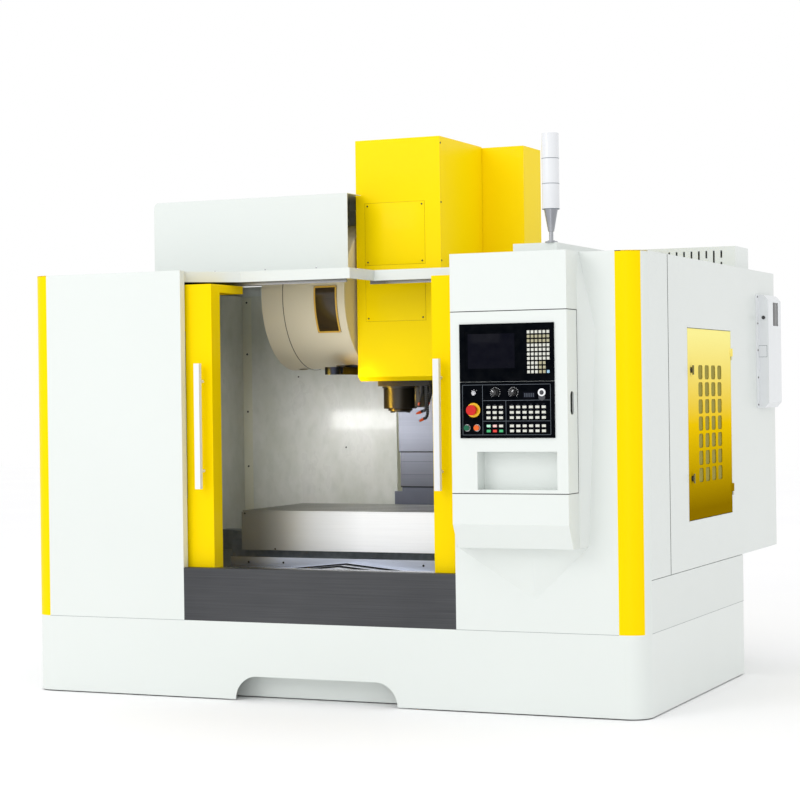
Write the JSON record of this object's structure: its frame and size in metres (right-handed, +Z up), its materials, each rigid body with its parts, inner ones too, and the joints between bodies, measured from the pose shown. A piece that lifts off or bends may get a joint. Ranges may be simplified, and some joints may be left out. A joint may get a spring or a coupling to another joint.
{
  "type": "vertical machining centre",
  "caption": "Enclosed vertical milling machine: sliding doors, cross table, spindle head on a column, drum tool magazine, console and electrical cabinet.",
  "frame": {"origin": "floor level, centre of the machine's overall footprint", "axes": "+Z up, +Y from the door side to the column, +X to the operator's right"},
  "size_m": [3.369, 2.71, 2.85],
  "materials": {
    "foot_steel": "machined",
    "casting_grey": "painted casting",
    "rail_steel": "ground",
    "servo_black": "satin black",
    "screw_steel": "ground",
    "white_paint": "semi-gloss powder coat",
    "yellow_paint": "gloss powder coat",
    "dark_brushed": "dark brushed",
    "side_grey": "semi-gloss powder coat",
    "vent_yellow": "gloss",
    "cooler_white": "satin",
    "inner_cream": "satin light grey",
    "pan_dark": "satin dark",
    "cover_steel": "brushed",
    "table_steel": "ground",
    "head_black": "painted casting",
    "nose_steel": "ground and oiled",
    "nozzle_orange": "moulded",
    "disc_grey": "machined",
    "drum_beige": "satin warm grey",
    "smoked_window": "smoked",
    "arm_steel": "blued",
    "door_window": "clear laminated",
    "handle_white": "gloss",
    "panel_black": "fine texture",
    "key_white": "moulded",
    "stop_red": "moulded",
    "start_green": "moulded",
    "hold_orange": "moulded",
    "knob_black": "moulded",
    "switch_metal": "plated",
    "lamp_white": "moulded"
  },
  "bodies": {
    "machine": {"axis_servos": "servo_black", "base_skirt": "white_paint", "cabinet_cooler": "cooler_white", "chip_pans": "pan_dark", "column": "casting_grey", "column_top_cover": "yellow_paint", "console_fairing": "white_paint", "console_shell": "white_paint", "corner_posts": "yellow_paint", "door_apron": "dark_brushed", "door_tracks": "rail_steel", "electrical_cabinet": "side_grey", "inner_walls": "inner_cream", "left_front_panel": "white_paint", "levelling_pads": "foot_steel", "linear_rails": "rail_steel", "machine_bed": "casting_grey", "magazine_bracket": "casting_grey", "magazine_drum_cover": "drum_beige", "magazine_top_cover": "white_paint", "magazine_window": "smoked_window", "resistor_box": "white_paint", "right_front_panel": "white_paint", "right_side_panel": "side_grey", "roof_panels": "white_paint", "side_panels": "side_grey", "signal_lamp": "lamp_white", "way_covers_fixed": "cover_steel"},
    "saddle": {"saddle": "casting_grey", "saddle_way_cover": "cover_steel"},
    "table": {"table": "table_steel"},
    "y_cover_front": {"y_cover_front": "cover_steel"},
    "y_cover_rear": {"y_cover_rear": "cover_steel"},
    "x_screw": {"x_ball_screw": "screw_steel"},
    "y_screw": {"y_ball_screw": "screw_steel"},
    "z_screw": {"z_ball_screw": "screw_steel"},
    "head": {"spindle_head": "head_black", "head_cover": "yellow_paint", "coolant_nozzles": "nozzle_orange", "z_cover_upper": "cover_steel"},
    "z_cover_middle": {"z_cover_middle": "cover_steel"},
    "spindle": {"spindle": "nose_steel"},
    "tool_disc": {"tool_disc": "disc_grey"},
    "change_arm": {"change_arm": "arm_steel"},
    "left_door": {"left_door": "yellow_paint", "left_door_window": "door_window", "left_door_handle": "handle_white"},
    "right_door": {"right_door": "yellow_paint", "right_door_window": "door_window", "right_door_handle": "handle_white"},
    "console_door": {"console_door": "white_paint", "operator_panel": "panel_black", "panel_keys": "key_white"},
    "emergency_stop": {"emergency_stop": "stop_red"},
    "cycle_start": {"cycle_start": "start_green"},
    "feed_hold": {"feed_hold": "hold_orange"},
    "feed_knob": {"feed_knob": "knob_black"},
    "spindle_knob": {"spindle_knob": "knob_black"},
    "key_switch": {"key_switch": "switch_metal"},
    "vent_door": {"vent_door": "vent_yellow"}
  },
  "joints": [
    {"name": "y_axis", "type": "slide", "parent": "machine", "child": "saddle", "axis": [0, 1, 0], "range_m": [-0.22, 0.48]},
    {"name": "x_axis", "type": "slide", "parent": "saddle", "child": "table", "axis": [1, 0, 0], "range_m": [-0.62, 0.62]},
    {"name": "z_axis", "type": "slide", "parent": "machine", "child": "head", "axis": [0, 0, 1], "range_m": [-0.386, 0.314]},
    {"name": "y_cover_front_slide", "type": "slide", "parent": "machine", "child": "y_cover_front", "axis": [0, 1, 0], "range_m": [-0.0734, 0.1601]},
    {"name": "y_cover_rear_slide", "type": "slide", "parent": "machine", "child": "y_cover_rear", "axis": [0, 1, 0], "range_m": [-0.1467, 0.3201]},
    {"name": "z_cover_middle_slide", "type": "slide", "parent": "machine", "child": "z_cover_middle", "axis": [0, 0, 1], "range_m": [-0.1931, 0.1571]},
    {"name": "x_screw_spin", "type": "hinge", "parent": "saddle", "child": "x_screw", "pos_m": [-0.03, -0.254, 0.74], "axis": [1, 0, 0], "continuous": true},
    {"name": "y_screw_spin", "type": "hinge", "parent": "machine", "child": "y_screw", "pos_m": [-0.03, -0.254, 0.5], "axis": [0, 1, 0], "continuous": true},
    {"name": "z_screw_spin", "type": "hinge", "parent": "machine", "child": "z_screw", "pos_m": [-0.03, 0.683, 1.8], "axis": [0, 0, 1], "continuous": true},
    {"name": "spindle_spin", "type": "hinge", "parent": "head", "child": "spindle", "pos_m": [-0.03, -0.124, 1.6], "axis": [0, 0, 1], "continuous": true},
    {"name": "tool_disc_spin", "type": "hinge", "parent": "machine", "child": "tool_disc", "pos_m": [-0.48, -0.024, 2.038], "axis": [1, 0, 0], "continuous": true},
    {"name": "change_arm_drop", "type": "slide", "parent": "machine", "child": "change_arm", "axis": [0, 0, 1], "range_m": [-0.115, 0]},
    {"name": "left_door_slide", "type": "slide", "parent": "machine", "child": "left_door", "axis": [1, 0, 0], "range_m": [0, 0.6]},
    {"name": "right_door_slide", "type": "slide", "parent": "machine", "child": "right_door", "axis": [-1, 0, 0], "range_m": [0, 0.6]},
    {"name": "console_door_swing", "type": "hinge", "parent": "machine", "child": "console_door", "pos_m": [0.7635, -1.188, 1.47], "axis": [0, 0, -1], "range_deg": [0, 95]},
    {"name": "vent_door_swing", "type": "hinge", "parent": "machine", "child": "vent_door", "pos_m": [1.6305, 0.4145, 1.346], "axis": [0, 0, 1], "range_deg": [0, 110]},
    {"name": "emergency_stop_press", "type": "slide", "parent": "console_door", "child": "emergency_stop", "axis": [0, 1, 0], "range_m": [0, 0.006], "stiffness_N_per_m": 2500},
    {"name": "cycle_start_press", "type": "slide", "parent": "console_door", "child": "cycle_start", "axis": [0, 1, 0], "range_m": [0, 0.004], "stiffness_N_per_m": 1500},
    {"name": "feed_hold_press", "type": "slide", "parent": "console_door", "child": "feed_hold", "axis": [0, 1, 0], "range_m": [0, 0.004], "stiffness_N_per_m": 1500},
    {"name": "feed_knob_turn", "type": "hinge", "parent": "console_door", "child": "feed_knob", "pos_m": [0.977, -1.32, 1.515], "axis": [0, 1, 0], "range_deg": [-135, 135]},
    {"name": "spindle_knob_turn", "type": "hinge", "parent": "console_door", "child": "spindle_knob", "pos_m": [1.065, -1.32, 1.515], "axis": [0, 1, 0], "range_deg": [-135, 135]},
    {"name": "key_switch_turn", "type": "hinge", "parent": "console_door", "child": "key_switch", "pos_m": [0.871, -1.32, 1.514], "axis": [0, 1, 0], "range_deg": [0, 90]}
  ],
  "couplings": [
    {"joint": "y_cover_front_slide", "follows": "y_axis", "ratio": 0.33333},
    {"joint": "y_cover_rear_slide", "follows": "y_axis", "ratio": 0.66667},
    {"joint": "z_cover_middle_slide", "follows": "z_axis", "ratio": 0.5},
    {"joint": "x_screw_spin", "follows": "x_axis", "rad_per_m": 392.7},
    {"joint": "y_screw_spin", "follows": "y_axis", "rad_per_m": 392.7},
    {"joint": "z_screw_spin", "follows": "z_axis", "rad_per_m": 392.7}
  ]
}
